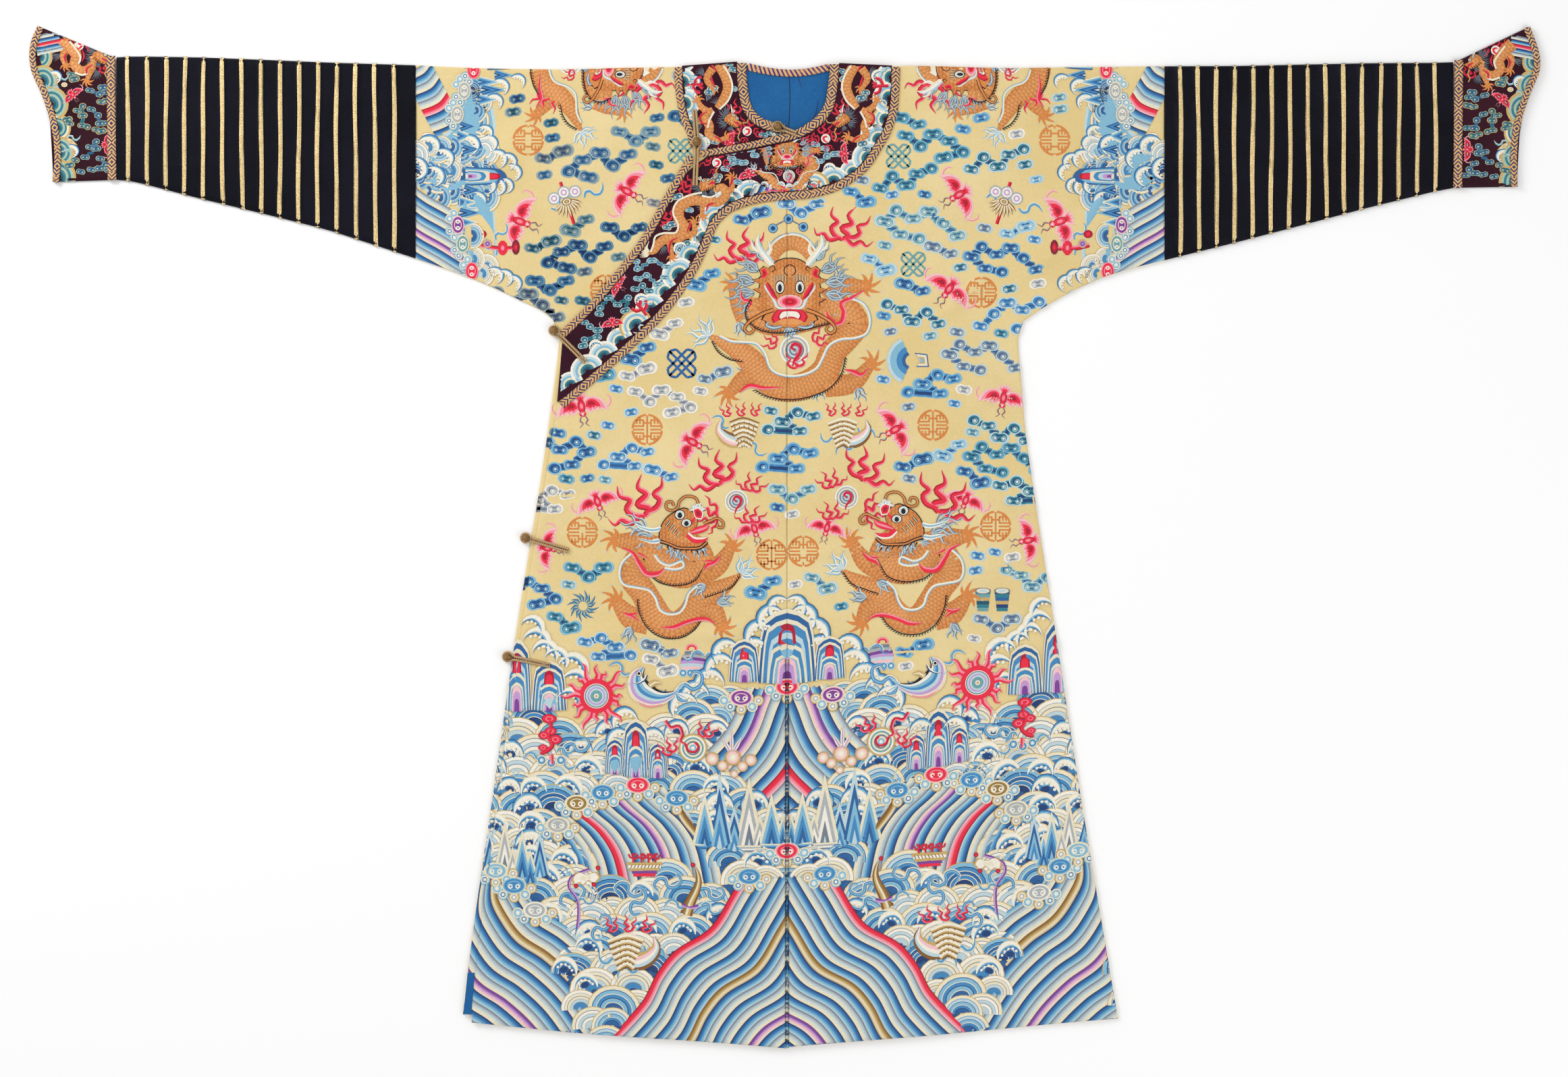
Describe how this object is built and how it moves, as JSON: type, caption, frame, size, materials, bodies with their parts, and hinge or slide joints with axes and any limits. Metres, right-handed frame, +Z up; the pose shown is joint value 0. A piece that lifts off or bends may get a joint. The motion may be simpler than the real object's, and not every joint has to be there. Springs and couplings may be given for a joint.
{
  "type": "chinese dragon robe",
  "caption": "Full-length embroidered silk robe with wrapped front, banded sleeves and flared cuffs, laid out flat with its front up.",
  "frame": {"origin": "on the surface that the robe lies on, under the middle of its width and of its height", "axes": "+X towards the wearer's left sleeve, +Y towards the shoulders, +Z up out of the robe's front"},
  "size_m": [2.1917, 1.4839, 0.0193],
  "materials": {
    "yellow_silk": "pale gold-yellow silk gauze, embroidered",
    "dark_satin": "near-black navy satin with couched gold bands",
    "aubergine_satin": "dark aubergine satin, embroidered",
    "gold_brocade": "tan-gold brocade with a navy fret",
    "blue_silk": "plain blue silk lining",
    "gilt_cord": "knotted brown-gold cord"
  },
  "bodies": {
    "root": {"back_left": "yellow_silk", "back_right": "yellow_silk", "ball_breast": "gilt_cord", "ball_hip": "gilt_cord", "ball_neck": "gilt_cord", "ball_underarm": "gilt_cord", "ball_waist": "gilt_cord", "collar_edge_binding": "gold_brocade", "collar_flap": "aubergine_satin", "collar_left": "aubergine_satin", "cuff_edge_binding_left": "gold_brocade", "cuff_edge_binding_right": "gold_brocade", "cuff_joint_trim_left": "gold_brocade", "cuff_joint_trim_right": "gold_brocade", "cuff_left": "aubergine_satin", "cuff_right": "aubergine_satin", "inner_front": "yellow_silk", "inner_hem_facing": "blue_silk", "loop_breast": "gilt_cord", "loop_hip": "gilt_cord", "loop_neck": "gilt_cord", "loop_underarm": "gilt_cord", "loop_waist": "gilt_cord", "neck_binding_back": "gold_brocade", "neck_binding_left": "gold_brocade", "neck_binding_right": "gold_brocade", "neck_lining": "blue_silk", "outer_front_left": "yellow_silk", "outer_front_right": "yellow_silk", "overlap_binding": "gold_brocade", "shoulder_edge_binding": "gold_brocade", "sleeve_left": "dark_satin", "sleeve_right": "dark_satin", "tail_breast": "gilt_cord"}
  },
  "joints": []
}
